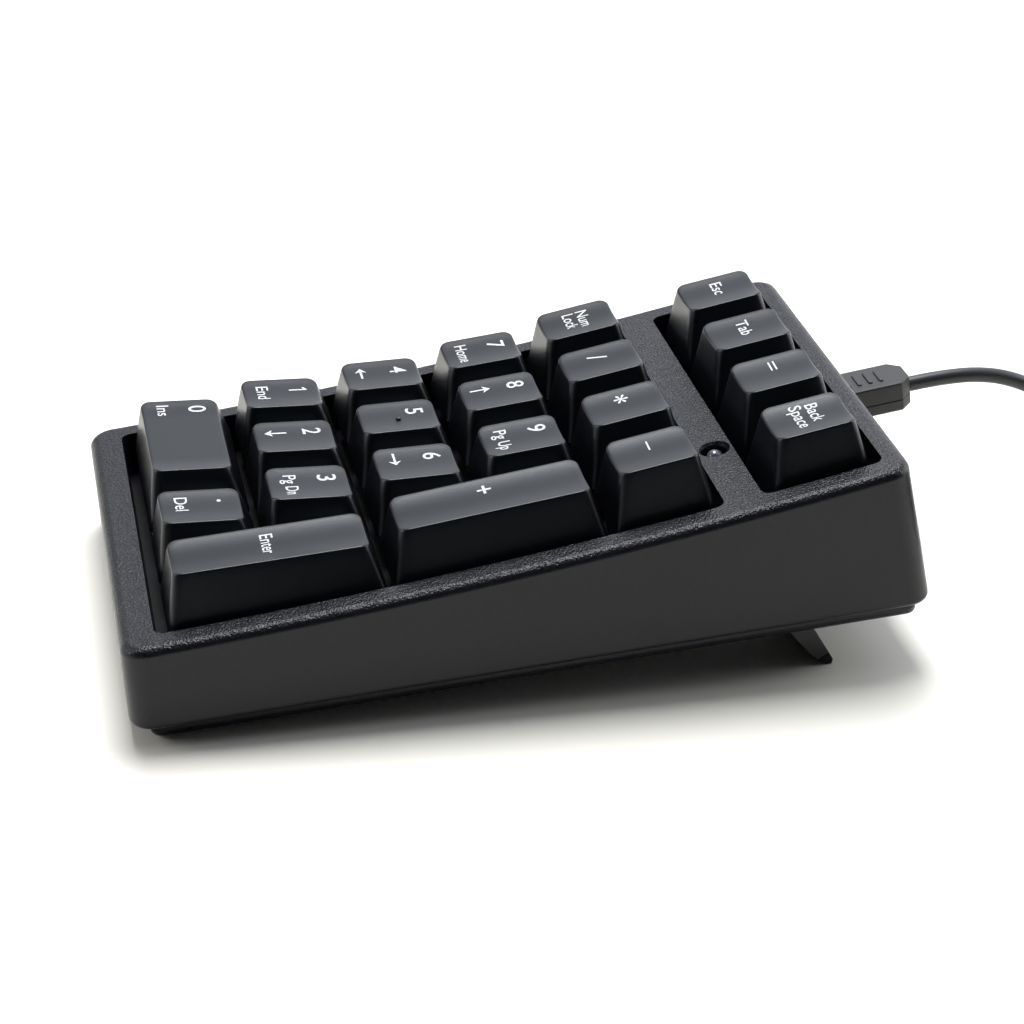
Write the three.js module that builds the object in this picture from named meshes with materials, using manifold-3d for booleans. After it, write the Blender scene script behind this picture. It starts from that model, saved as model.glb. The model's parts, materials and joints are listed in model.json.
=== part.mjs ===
// Numeric keypad with twenty-one mechanical keys, flip-out rear feet and a detachable lead.
// Millimetres, +Z up, X to the user's right, Y away from the user.
//
// Three nested frames:
//   keypad  stands on the table (z = 0), origin under the middle of the case
//   base    the flat underside of the case, tipped by the flip-out feet
//   deck    the switch plate, tipped a little more by the wedge shape of the case;
//           its origin is the middle of the front key row
import * as THREE from 'three';
import { mergeVertices } from 'three/addons/utils/BufferGeometryUtils.js';
import Module from 'manifold-3d';

const wasm = await Module();
wasm.setup();

// ---------------------------------------------------------------- driving dimensions
const PITCH = 19.05;
const ESC_ROW_V = 103.74;              // the top row stands apart from the others
const GAP = 0.3;                       // air left between pieces that touch

const WEDGE = THREE.MathUtils.degToRad(4.09);        // deck against base
const BEZEL_SLOPE = THREE.MathUtils.degToRad(1.0);   // bezel chord against deck
const BEZEL_RADIUS = 1111;             // the bezel is a shallow hollow curve, front to back
const BEZEL_LOW_V = 51;

const CASE_HALF = 43.6;                // half width of the case
const CASE_EDGE_Z = -14.7;             // lower edge of the top case, base frame
const CASE_FRONT = { y: -17.42, lean: 0.0175 };
const CASE_REAR = { y: 121.3, lean: 0.1405 };
const CASE_CORNER = 4.5;
const CASE_WALL = 2.2;
const FRAME_UNDERSIDE = -6.4;          // underside of the solid frame round the wells, deck frame
const WELL_HALF = 38.75;
const WELL_CORNER = 1.8;
const MAIN_WELL = [-11.17, 86.37];
const ESC_WELL = [92.9, 114.28];

const TRAY_INSET = CASE_WALL + GAP;
const TRAY_AHEAD = 0.7;                // further inset of the front of the tray
const TRAY_BOTTOM = -17.92;
const TRAY_WALL = 1.8;
const TRAY_FLOOR = 2.0;
const TRAY_RIM = -8.6;                 // top of the tray wall, deck frame

const PLATE = { half: 40.9, front: -15.3, rear: 115.8, top: -6.8, thick: 1.5 };
const BOARD = { half: 38.6, front: -12.3, rear: 114.0, top: -11.8, thick: 1.6 };
const SWITCH_BODY = 13.6;
const SWITCH_FLANGE = 15.4;
const SWITCH_FLANGE_TOP = -5.8;
const SWITCH_TOP = -0.5;
const SLIDER = 6.6;
const SLIDER_SLOT = 7.4;

const SKIRT_Z = -0.7;                  // lower edge of every keycap
const CAP_GAP = 0.95;                  // air between neighbouring keycaps
const CAP_TOP_HALF = 6.17;
const CAP_TOP_FRONT = -6.25;
const CAP_TOP_REAR = 7.6;
const CAP_WALL = 1.4;
const CAP_CEILING = 4.4;
const DISH = 1.0;                      // depth of the finger hollow
const STEM_RADIUS = 2.8;

const WIRE_RADIUS = 0.6;
const WIRE_Z = -5.7;
const WIRE_SIDE = 8.6;                 // long leg of a stabiliser wire, from the key's middle
const WIRE_HALF = 11.94;
const WIRE_REACH = 7.6;
const WIRE_RISE = 4.7;

const LAMP = { u: 18.7, v: 89.7, hole: 2.3, body: 1.5, top: 1.9 };

const FOOT = { u: [22.5, 38.9], pivot: [97.0, -15.1], lean: THREE.MathUtils.degToRad(30.5) };
const FOOT_SOLE = [[102.9, -26.11], [104.0, -26.186]];
const RECESS = { u: [22.2, 39.2], y: [80.5, 100.6], ceiling: -12.4 };
const PAD = { u: 33, width: 12, depth: 6, front: -11, rear: 106, sunk: 1.0, bottom: -18.28 };

const SOCKET = { u: -12.3, w: -9.7, half: 3.8, front: 110.9, rear: 116.6 };
const PLUG = { half: 4.6, high: 5.9, front: 119.42, rear: 134.95 };
const LEAD_RADIUS = 1.45;

// The feet tip the base until the sole and the front edge of the front pads share the table.
const BASE_TILT = Math.atan2(PAD.bottom - FOOT_SOLE[0][1], FOOT_SOLE[0][0] - PAD.front);
const STAND_Z = PAD.front * -Math.sin(BASE_TILT) - PAD.bottom * Math.cos(BASE_TILT);
const STAND_Y = -52.156;

// ---------------------------------------------------------------- colours
const finish = (color, roughness, metalness = 0) =>
  new THREE.MeshStandardMaterial({ color, roughness, metalness });
const CASE_BLACK = finish(0x2b2b2e, 0.72);
const CAP_GREY = finish(0x45474c, 0.55);
const SWITCH_BLACK = finish(0x151517, 0.5);
const STEEL = finish(0x9a9ca0, 0.35, 1);
const BOARD_GREEN = finish(0x1f4a33, 0.6);
const RUBBER = finish(0x141414, 0.9);
const LAMP_CLEAR = finish(0xc9cdd2, 0.2);
const LEAD_GREY = finish(0x36373b, 0.6);

// ---------------------------------------------------------------- solids
const solid = (geometry) => {
  const bare = geometry.clone();
  bare.deleteAttribute('normal');
  bare.deleteAttribute('uv');
  const merged = mergeVertices(bare, 1e-4);
  return new wasm.Manifold(new wasm.Mesh({
    numProp: 3,
    vertProperties: new Float32Array(merged.attributes.position.array),
    triVerts: new Uint32Array(merged.index.array),
  }));
};

const geometryOf = (manifold) => {
  const { vertProperties, triVerts } = manifold.getMesh();
  const geometry = new THREE.BufferGeometry();
  geometry.setAttribute('position', new THREE.BufferAttribute(vertProperties, 3));
  geometry.setIndex(new THREE.BufferAttribute(triVerts, 1));
  geometry.computeVertexNormals();
  return geometry;
};

const block = (x, y, z) =>
  new THREE.BoxGeometry(x[1] - x[0], y[1] - y[0], z[1] - z[0])
    .translate((x[0] + x[1]) / 2, (y[0] + y[1]) / 2, (z[0] + z[1]) / 2);

const around = (centre, size) => [centre - size / 2, centre + size / 2];

const roundedRect = (x, y, r) => {
  const shape = new THREE.Shape();
  shape.absarc(x[1] - r, y[0] + r, r, -Math.PI / 2, 0);
  shape.absarc(x[1] - r, y[1] - r, r, 0, Math.PI / 2);
  shape.absarc(x[0] + r, y[1] - r, r, Math.PI / 2, Math.PI);
  shape.absarc(x[0] + r, y[0] + r, r, Math.PI, Math.PI * 1.5);
  return shape;
};

const prism = (shape, z, curveSegments = 4) =>
  new THREE.ExtrudeGeometry(shape, { depth: z[1] - z[0], bevelEnabled: false, curveSegments })
    .translate(0, 0, z[0]);

const round = (x, y, r, z, segments = 12) =>
  new THREE.CylinderGeometry(r, r, z[1] - z[0], segments)
    .rotateX(Math.PI / 2).translate(x, y, (z[0] + z[1]) / 2);

// A profile drawn in (y, z) and run along x.
const ALONG_X = new THREE.Matrix4().makeBasis(
  new THREE.Vector3(0, 1, 0), new THREE.Vector3(0, 0, 1), new THREE.Vector3(1, 0, 0));
const sideways = (shape, x, curveSegments = 12) =>
  prism(shape, x, curveSegments).applyMatrix4(ALONG_X);

const DECK_TO_BASE = new THREE.Matrix4().makeRotationX(WEDGE);
const inBase = (geometry) => geometry.applyMatrix4(DECK_TO_BASE);

// Plan outline pulled through z with leaning front and rear walls, grown by `grow`.
const leaningPrism = (grow, z, corner, ahead = 0) => {
  const x = [-CASE_HALF - grow, CASE_HALF + grow];
  const lean = (end, sign) => new THREE.Matrix4().set(
    1, 0, 0, 0, 0, 1, sign * end.lean, 0, 0, 0, 1, 0, 0, 0, 0, 1);
  const frontY = CASE_FRONT.y + ahead - grow - CASE_FRONT.lean * CASE_EDGE_Z;
  const rearY = CASE_REAR.y + grow + CASE_REAR.lean * CASE_EDGE_Z;
  const front = prism(roundedRect(x, [frontY, 200], corner), z).applyMatrix4(lean(CASE_FRONT, 1));
  const rear = prism(roundedRect(x, [-100, rearY], corner), z).applyMatrix4(lean(CASE_REAR, -1));
  return solid(front).intersect(solid(rear));
};

const belowDeck = (w) => solid(inBase(block([-90, 90], [-90, 200], [-60, w])));

// ---------------------------------------------------------------- case
const topProfile = () => {
  const tilt = WEDGE + BEZEL_SLOPE;
  const centreY = BEZEL_LOW_V * Math.cos(tilt) - BEZEL_RADIUS * Math.sin(tilt);
  const centreZ = BEZEL_LOW_V * Math.sin(tilt) + BEZEL_RADIUS * Math.cos(tilt);
  const angleAt = (y) => -Math.acos((y - centreY) / BEZEL_RADIUS);
  const shape = new THREE.Shape();
  shape.moveTo(-30, CASE_EDGE_Z);
  shape.lineTo(130, CASE_EDGE_Z);
  shape.absarc(centreY, centreZ, BEZEL_RADIUS, angleAt(130), angleAt(-30), true);
  shape.closePath();
  return shape;
};

const socketOpening = () => solid(inBase(
  block(around(SOCKET.u, 9), [SOCKET.rear - 4, PLUG.front + 6], around(SOCKET.w, 6.4))));

const topCase = () => {
  const z = [CASE_EDGE_Z, 30];
  const outer = solid(sideways(topProfile(), [-CASE_HALF - 1, CASE_HALF + 1], 12))
    .intersect(leaningPrism(0, z, CASE_CORNER));
  const hollow = leaningPrism(-CASE_WALL, [CASE_EDGE_Z - 1, 30], CASE_CORNER - CASE_WALL)
    .intersect(belowDeck(FRAME_UNDERSIDE));
  const well = (v) => solid(inBase(
    prism(roundedRect([-WELL_HALF, WELL_HALF], v, WELL_CORNER), [FRAME_UNDERSIDE - 1, 30], 3)));
  const lampHole = solid(inBase(
    round(LAMP.u, LAMP.v, LAMP.hole, [FRAME_UNDERSIDE - 1, 30], 16)));
  return outer.subtract(hollow).subtract(well(MAIN_WELL)).subtract(well(ESC_WELL))
    .subtract(lampHole).subtract(socketOpening());
};

const bottomCase = () => {
  const grow = -TRAY_INSET;
  const limit = solid(block([-60, 60], [-60, CASE_REAR.y - TRAY_INSET], [TRAY_BOTTOM, 30]));
  const outer = leaningPrism(grow, [TRAY_BOTTOM, 30], 3, TRAY_AHEAD).intersect(belowDeck(TRAY_RIM))
    .intersect(limit);
  const hollow = leaningPrism(grow - TRAY_WALL, [TRAY_BOTTOM + TRAY_FLOOR, 30], 1.5, TRAY_AHEAD);
  let tray = outer.subtract(hollow).subtract(socketOpening());
  for (const side of [-1, 1]) {
    const span = (range, extra) => (side > 0
      ? [range[0] - extra, range[1] + extra] : [-range[1] - extra, -range[0] + extra]);
    const housing = block(span(RECESS.u, 1.6), [RECESS.y[0] - 1.6, RECESS.y[1] + 1.6],
      [TRAY_BOTTOM + 0.5, RECESS.ceiling + 1.6]);
    const recess = block(span(RECESS.u, 0), RECESS.y, [TRAY_BOTTOM - 1, RECESS.ceiling]);
    const sockets = new THREE.CylinderGeometry(1.3, 1.3, RECESS.u[1] - RECESS.u[0] + 2.6, 12)
      .rotateZ(Math.PI / 2)
      .translate(side * (RECESS.u[0] + RECESS.u[1]) / 2, FOOT.pivot[0], FOOT.pivot[1]);
    tray = tray.add(solid(housing).intersect(outer)).subtract(solid(recess)).subtract(solid(sockets));
    for (const y of [PAD.front, PAD.rear]) {
      const seat = block(around(side * PAD.u, PAD.width + 2 * GAP), [y - GAP, y + PAD.depth + GAP],
        [TRAY_BOTTOM - 1, TRAY_BOTTOM + PAD.sunk]);
      tray = tray.subtract(solid(seat));
    }
  }
  return tray;
};

const pad = (side, y) => solid(block(around(side * PAD.u, PAD.width), [y, y + PAD.depth],
  [PAD.bottom, TRAY_BOTTOM + PAD.sunk - GAP]));

// The foot stands open, leaning back past upright; drawn in (y, z) about its pivot.
const foot = (side) => {
  const [py, pz] = FOOT.pivot;
  const along = (s, left) => [
    py + s * Math.sin(FOOT.lean) - left * Math.cos(FOOT.lean),
    pz - s * Math.cos(FOOT.lean) - left * Math.sin(FOOT.lean)];
  const shape = new THREE.Shape();
  shape.absarc(py, pz, 2.1, -FOOT.lean, Math.PI - FOOT.lean + 0.1);
  shape.lineTo(...along(2.8, 2.2));
  shape.lineTo(...along(9.0, 1.7));
  shape.lineTo(...along(11.4, 1.1));
  shape.lineTo(...FOOT_SOLE[0]);
  shape.lineTo(...FOOT_SOLE[1]);
  shape.lineTo(...along(12.4, -1.3));
  shape.lineTo(...along(4.0, -1.55));
  shape.closePath();
  const x = side > 0 ? FOOT.u : [-FOOT.u[1], -FOOT.u[0]];
  const pins = new THREE.CylinderGeometry(1.0, 1.0, FOOT.u[1] - FOOT.u[0] + 2.2, 12)
    .rotateZ(Math.PI / 2).translate((x[0] + x[1]) / 2, py, pz);
  return solid(sideways(shape, x, 10)).add(solid(pins));
};

// ---------------------------------------------------------------- plate, board and lamp
const switchPlate = (keys) => {
  const { half, front, rear, top, thick } = PLATE;
  let plate = solid(prism(roundedRect([-half, half], [front, rear], 2), [top - thick, top]));
  for (const { u, v } of keys) {
    const hole = SWITCH_BODY + 2 * GAP;
    plate = plate.subtract(solid(block(around(u, hole), around(v, hole), [top - 3, top + 1])));
  }
  return plate.subtract(solid(round(LAMP.u, LAMP.v, LAMP.hole, [top - 3, top + 1], 16)));
};

// The lead's socket is soldered to the board and is one piece with it here.
const circuitBoard = () => {
  const { half, front, rear, top, thick } = BOARD;
  const board = solid(prism(roundedRect([-half, half], [front, rear], 1.5), [top - thick, top]));
  const shell = solid(block(around(SOCKET.u, 2 * SOCKET.half), [SOCKET.front, SOCKET.rear],
    [top - 0.5, SOCKET.w + 1.4]));
  const mouth = solid(block(around(SOCKET.u, 7.2), [SOCKET.front + 0.7, SOCKET.rear + 1],
    around(SOCKET.w, 2.2)));
  return board.add(shell).subtract(mouth);
};

const lamp = () => {
  const base = BOARD.top + GAP;
  const profile = [[0, base], [1.7, base], [1.7, -3], [1.5, -3], [1.5, LAMP.top - LAMP.body]]
    .map(([r, z]) => new THREE.Vector2(r, z));
  for (let i = 1; i <= 4; i += 1) {
    const a = (i / 4) * Math.PI / 2;
    profile.push(new THREE.Vector2(
      i === 4 ? 0 : LAMP.body * Math.cos(a), LAMP.top - LAMP.body * (1 - Math.sin(a))));
  }
  return solid(new THREE.LatheGeometry(profile, 12).rotateX(Math.PI / 2)
    .translate(LAMP.u, LAMP.v, 0));
};

// ---------------------------------------------------------------- keys and switches
// Closed body through two or more rings of equally many points.
const loft = (rings) => {
  const n = rings[0].length;
  const positions = rings.flat(2);
  const index = [];
  for (let k = 0; k + 1 < rings.length; k += 1) {
    for (let i = 0; i < n; i += 1) {
      const a = k * n + i;
      const b = k * n + (i + 1) % n;
      index.push(a, b, b + n, a, b + n, a + n);
    }
  }
  const last = (rings.length - 1) * n;
  for (let i = 1; i + 1 < n; i += 1) {
    index.push(0, i + 1, i, last, last + i, last + i + 1);
  }
  const geometry = new THREE.BufferGeometry();
  geometry.setAttribute('position', new THREE.Float32BufferAttribute(positions, 3));
  geometry.setIndex(index);
  return geometry;
};

const rectRing = (x, y, z) => [
  [x[0], y[0], z], [x[1], y[0], z], [x[1], y[1], z], [x[0], y[1], z]];

// Outside of a keycap: straight skirt edges below, a hollow of cylinder shape on top.
const capShell = (halfU, halfV, top) => {
  const n = 6;
  const rows = [];
  for (let i = 0; i <= n; i += 1) {
    const t = -1 + (2 * i) / n;
    const dip = DISH * (1 - t * t);
    rows.push({
      low: [[t * halfU, -halfV, SKIRT_Z], [t * halfU, halfV, SKIRT_Z]],
      high: [[t * top.halfU, top.v[0], top.z[0] - dip], [t * top.halfU, top.v[1], top.z[1] - dip]],
    });
  }
  const positions = rows.flatMap(({ low, high }) => [...low, ...high]).flat();
  const index = [];
  const quad = (a, b, c, d) => index.push(a, b, c, a, c, d);
  for (let i = 0; i < n; i += 1) {
    const [lf, lr, hf, hr] = [0, 1, 2, 3].map((k) => 4 * i + k);
    quad(lf, lf + 4, hf + 4, hf);
    quad(lr + 4, lr, hr, hr + 4);
    quad(hf, hf + 4, hr + 4, hr);
    quad(lf + 4, lf, lr, lr + 4);
  }
  quad(1, 0, 2, 3);
  const e = 4 * n;
  quad(e, e + 1, e + 3, e + 2);
  const geometry = new THREE.BufferGeometry();
  geometry.setAttribute('position', new THREE.Float32BufferAttribute(positions, 3));
  geometry.setIndex(index);
  return geometry;
};

// Keycap with its stem and slider; upright stabiliser posts on the long keys.
const keyBody = ({ wide, deep, top }) => {
  const halfU = (wide * PITCH - CAP_GAP) / 2;
  const halfV = (deep * PITCH - CAP_GAP) / 2;
  const inner = (half, drop) => [-half + drop, half - drop];
  const hollow = loft([
    rectRing(inner(halfU, CAP_WALL), inner(halfV, CAP_WALL), SKIRT_Z - 1),
    rectRing(inner(halfU, CAP_WALL + 1.6), inner(halfV, CAP_WALL + 1.2), CAP_CEILING)]);
  let body = solid(capShell(halfU, halfV, top)).subtract(solid(hollow));
  body = body.add(solid(round(0, 0, STEM_RADIUS, [-0.4, CAP_CEILING + 1])));
  body = body.add(solid(block(around(0, SLIDER), around(0, SLIDER), [-6.6, -0.2])));
  for (const side of wide + deep > 2 ? [-1, 1] : []) {
    const reach = side * WIRE_HALF;
    body = body.add(solid(round(wide > 1 ? reach : 0, wide > 1 ? 0 : reach, 2.2,
      [WIRE_Z + WIRE_RISE + WIRE_RADIUS + GAP, CAP_CEILING + 1], 8)));
  }
  return body;
};

const switchHousing = () => {
  const half = SWITCH_BODY / 2;
  const floor = BOARD.top + GAP;
  const seat = PLATE.top + GAP;
  const lower = solid(block([-half, half], [-half, half], [floor, seat + 0.2]));
  const flange = solid(block(around(0, SWITCH_FLANGE), around(0, SWITCH_FLANGE),
    [seat, SWITCH_FLANGE_TOP]));
  const upper = solid(loft([
    rectRing([-7, 7], [-7, 7], SWITCH_FLANGE_TOP - 0.1),
    rectRing([-5.6, 5.6], [-5.4, 5.4], SWITCH_TOP)]));
  const slot = solid(block(around(0, SLIDER_SLOT), around(0, SLIDER_SLOT),
    [floor + 0.5, SWITCH_TOP + 1]));
  return lower.add(flange).add(upper).subtract(slot);
};

// Stabiliser wire: a long leg on the plate and two arms up to the keycap, long leg along x.
const stabiliserWire = () => {
  const bend = 1.6;
  const rise = new THREE.Vector3(0, WIRE_REACH, WIRE_RISE);
  const corner = (side) => new THREE.Vector3(side * WIRE_HALF, -WIRE_SIDE, WIRE_Z);
  const unit = rise.clone().normalize();
  const path = new THREE.CurvePath();
  const tip = (side) => corner(side).add(rise);
  const armEnd = (side) => corner(side).addScaledVector(unit, bend);
  const legEnd = (side) => corner(side).add(new THREE.Vector3(-side * bend, 0, 0));
  path.add(new THREE.LineCurve3(tip(-1), armEnd(-1)));
  path.add(new THREE.QuadraticBezierCurve3(armEnd(-1), corner(-1), legEnd(-1)));
  path.add(new THREE.LineCurve3(legEnd(-1), legEnd(1)));
  path.add(new THREE.QuadraticBezierCurve3(legEnd(1), corner(1), armEnd(1)));
  path.add(new THREE.LineCurve3(armEnd(1), tip(1)));
  const section = new THREE.Shape();
  section.absarc(0, 0, WIRE_RADIUS, 0, Math.PI * 2);
  return solid(new THREE.ExtrudeGeometry(section,
    { extrudePath: path, steps: 36, curveSegments: 4, bevelEnabled: false }));
};

// ---------------------------------------------------------------- lead
const cablePlug = () => {
  const { half, high, front, rear } = PLUG;
  const [u, w] = [SOCKET.u, SOCKET.w];
  const outline = new THREE.Shape();
  outline.moveTo(u - half, front);
  outline.lineTo(u + half, front);
  outline.lineTo(u + half, rear - 2.4);
  outline.lineTo(u + half - 2.2, rear);
  outline.lineTo(u - half + 2.2, rear);
  outline.lineTo(u - half, rear - 2.4);
  outline.closePath();
  const grip = solid(prism(outline, around(w, high)));
  const tongue = solid(block(around(u, 6.6), [front - 6.6, front + 1], around(w, 1.6)));
  return grip.add(tongue);
};

const deckPoint = (u, v, w) => {
  const tilt = BASE_TILT + WEDGE;
  return new THREE.Vector3(u, v * Math.cos(tilt) - w * Math.sin(tilt) + STAND_Y,
    v * Math.sin(tilt) + w * Math.cos(tilt) + STAND_Z);
};

// Route of the lead from its plug down to the coil, in the plane of the plug, as [y, z].
const LEAD_ROUTE = [
  [86.8, 28.7], [91.4, 29.05], [96.2, 29.0], [101.0, 28.2], [105.5, 26.6], [109.8, 24.3],
  [113.8, 21.4], [117.6, 18.1], [121.4, 14.6], [125.2, 11.2], [129.3, 8.1], [133.4, 5.4],
  [136.0, 4.1],
];
// The rest of the 1.5 m is wound up behind the keypad, four turns wide and three deep.
const COIL = { centre: [9.0, 148], inner: 10.7, outer: 22.9, high: 11.8, soften: 1.2 };
const HOST_PLUG = { wide: 15.5, high: 7.6, grip: 24, shell: [12, 4.5, 12], behind: 21.3, reach: 26 };
const BOOT = { radius: 1.9, rise: 8.3, tip: 2.6 };       // strain relief, led down from the coil

const lead = () => {
  const start = deckPoint(SOCKET.u, PLUG.rear + GAP, SOCKET.w);
  const points = [start, ...LEAD_ROUTE.map(([y, z]) => new THREE.Vector3(SOCKET.u, y, z))];
  const path = new THREE.CatmullRomCurve3(points, false, 'centripetal');
  const section = new THREE.Shape();
  section.absarc(0, 0, LEAD_RADIUS, 0, Math.PI * 2);
  return solid(new THREE.ExtrudeGeometry(section,
    { extrudePath: path, steps: 20, curveSegments: 4, bevelEnabled: false }));
};

const coil = () => {
  const { centre, inner, outer, high, soften } = COIL;
  const profile = [
    [inner, 0], [outer, 0], [outer, high - soften], [outer - soften, high],
    [inner + soften, high], [inner, high - soften], [inner, 0],
  ].map(([r, z]) => new THREE.Vector2(r, z));
  return solid(new THREE.LatheGeometry(profile, 32).rotateX(Math.PI / 2)
    .translate(...centre, 0));
};

// The other end of the lead lies beside the coil; its strain relief slopes down to the plug.
const hostPlug = () => {
  const { wide, high, grip, shell, behind, reach } = HOST_PLUG;
  const y = COIL.centre[1] + behind;
  const x = COIL.centre[0] + reach;
  const clear = Math.sqrt(COIL.outer ** 2 - (behind - BOOT.radius) ** 2) + GAP;
  const outline = roundedRect(around(y, wide), [0, high], 1.5);
  const body = solid(sideways(outline, [x, x + grip], 2));
  const metal = solid(block([x + grip - 1, x + grip + shell[0]], around(y, shell[2]),
    around(high / 2, shell[1])));
  const ring = (px, pz, r) => Array.from({ length: 8 }, (_, i) => [
    px, y + r * Math.cos((i / 4) * Math.PI), pz + r * Math.sin((i / 4) * Math.PI)]);
  const boot = solid(loft([
    ring(COIL.centre[0] + clear, BOOT.rise, BOOT.radius), ring(x + 1, high / 2, BOOT.tip)]));
  return body.add(metal).add(boot);
};

const material = { CASE_BLACK, CAP_GREY, SWITCH_BLACK, STEEL, BOARD_GREEN, RUBBER, LAMP_CLEAR,
  LEAD_GREY };

// ---------------------------------------------------------------- key table
// Heights of the top edges, front and rear, for each sculpted row.
const ROWS = {
  low: { halfU: CAP_TOP_HALF, v: [CAP_TOP_FRONT, CAP_TOP_REAR], z: [9.42, 6.93] },
  home: { halfU: CAP_TOP_HALF, v: [CAP_TOP_FRONT, CAP_TOP_REAR], z: [8.51, 6.82] },
  upper: { halfU: CAP_TOP_HALF, v: [CAP_TOP_FRONT, CAP_TOP_REAR], z: [8.54, 8.1] },
  high: { halfU: CAP_TOP_HALF, v: [CAP_TOP_FRONT, CAP_TOP_REAR], z: [9.88, 10.5] },
};
const ROW_SHAPES = [ROWS.low, ROWS.low, ROWS.home, ROWS.upper, ROWS.high, ROWS.high];
const column = (c) => (c - 1.5) * PITCH;
const rowV = (r) => (r < 5 ? r * PITCH : ESC_ROW_V);
const single = (name, c, r) => ({
  name, u: column(c), v: rowV(r), wide: 1, deep: 1, top: ROW_SHAPES[r] });
const tall = (name, c, r, z) => ({
  name, u: column(c), v: rowV(r) + PITCH / 2, wide: 1, deep: 2,
  top: { halfU: CAP_TOP_HALF, v: [CAP_TOP_FRONT - PITCH / 2, CAP_TOP_REAR + PITCH / 2], z } });
const KEYS = [
  ...['esc', 'tab', 'equals', 'back_space'].map((name, c) => single(name, c, 5)),
  ...['num_lock', 'divide', 'multiply', 'minus'].map((name, c) => single(name, c, 4)),
  ...['7', '8', '9'].map((name, c) => single(name, c, 3)),
  ...['4', '5', '6'].map((name, c) => single(name, c, 2)),
  ...['1', '2', '3'].map((name, c) => single(name, c, 1)),
  tall('plus', 3, 2, [8.47, 8.42]),
  tall('enter', 3, 0, [9.5, 7.13]),
  { name: '0', u: -PITCH, v: 0, wide: 2, deep: 1,
    top: { halfU: 14.9, v: [CAP_TOP_FRONT, CAP_TOP_REAR], z: [9.8, 7.3] } },
  single('decimal', 2, 0),
];

// ---------------------------------------------------------------- assembly
const keypad = new THREE.Group();
const base = new THREE.Group();
base.rotation.x = BASE_TILT;
base.position.set(0, STAND_Y, STAND_Z);
const deck = new THREE.Group();
deck.rotation.x = WEDGE;
keypad.add(base);
base.add(deck);

const place = (parent, name, body, look) => {
  const mesh = new THREE.Mesh(geometryOf(body), look);
  mesh.name = name;
  parent.add(mesh);
  return mesh;
};

place(base, 'top_case', topCase(), material.CASE_BLACK);
place(base, 'bottom_case', bottomCase(), material.CASE_BLACK);
for (const [side, name] of [[-1, 'left'], [1, 'right']]) {
  place(base, `foot_${name}`, foot(side), material.CASE_BLACK);
  place(base, `front_pad_${name}`, pad(side, PAD.front), material.RUBBER);
  place(base, `rear_pad_${name}`, pad(side, PAD.rear), material.RUBBER);
}
place(deck, 'switch_plate', switchPlate(KEYS), material.STEEL);
place(deck, 'circuit_board', circuitBoard(), material.BOARD_GREEN);
place(deck, 'indicator_lamp', lamp(), material.LAMP_CLEAR);
for (const key of KEYS) {
  place(deck, `key_${key.name}`, keyBody(key), material.CAP_GREY).position.set(key.u, key.v, 0);
  place(deck, `switch_${key.name}`, switchHousing(), material.SWITCH_BLACK)
    .position.set(key.u, key.v, 0);
  if (key.wide + key.deep > 2) {
    const wire = place(deck, `stabiliser_${key.name}`, stabiliserWire(), material.STEEL);
    wire.position.set(key.u, key.v, 0);
    if (key.deep > 1) wire.rotation.z = Math.PI / 2;
  }
}
place(deck, 'cable_plug', cablePlug(), material.LEAD_GREY);
place(keypad, 'cable_lead', lead(), material.LEAD_GREY);
place(keypad, 'cable_coil', coil(), material.LEAD_GREY);
place(keypad, 'host_plug', hostPlug(), material.LEAD_GREY);

export default keypad;
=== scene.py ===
"""Numeric keypad on a pale floor: looks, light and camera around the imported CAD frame.

Shapes are drawn in millimetres in one of three frames and placed by a matrix, in metres. DECK is
the switch plate's frame (u right, v away from the user, w up through the keys), BASE is the frame
of the flat underside, and TABLE is the frame of the table it stands on.
"""
import math

import bmesh
import bpy
from mathutils import Matrix, Vector
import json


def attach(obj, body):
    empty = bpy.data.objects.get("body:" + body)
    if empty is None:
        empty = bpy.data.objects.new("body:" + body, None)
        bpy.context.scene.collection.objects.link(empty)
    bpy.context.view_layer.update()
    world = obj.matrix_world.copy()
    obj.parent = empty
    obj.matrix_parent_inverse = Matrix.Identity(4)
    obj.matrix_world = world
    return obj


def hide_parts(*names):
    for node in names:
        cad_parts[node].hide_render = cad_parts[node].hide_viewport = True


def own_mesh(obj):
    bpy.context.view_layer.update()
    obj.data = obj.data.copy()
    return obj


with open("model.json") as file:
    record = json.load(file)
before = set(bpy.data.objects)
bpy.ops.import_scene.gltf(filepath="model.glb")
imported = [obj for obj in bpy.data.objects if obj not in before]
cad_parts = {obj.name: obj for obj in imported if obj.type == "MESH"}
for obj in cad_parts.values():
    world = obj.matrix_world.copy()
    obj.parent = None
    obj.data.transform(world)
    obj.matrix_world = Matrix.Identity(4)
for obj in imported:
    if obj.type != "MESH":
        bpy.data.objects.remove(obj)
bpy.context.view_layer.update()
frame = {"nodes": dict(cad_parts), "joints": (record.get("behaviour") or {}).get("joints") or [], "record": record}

MM = 0.001
JOINTS = {joint["name"]: joint for joint in frame["joints"]}
MOUNTS = {mount["name"]: mount for mount in frame["record"]["mounts"]}

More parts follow.
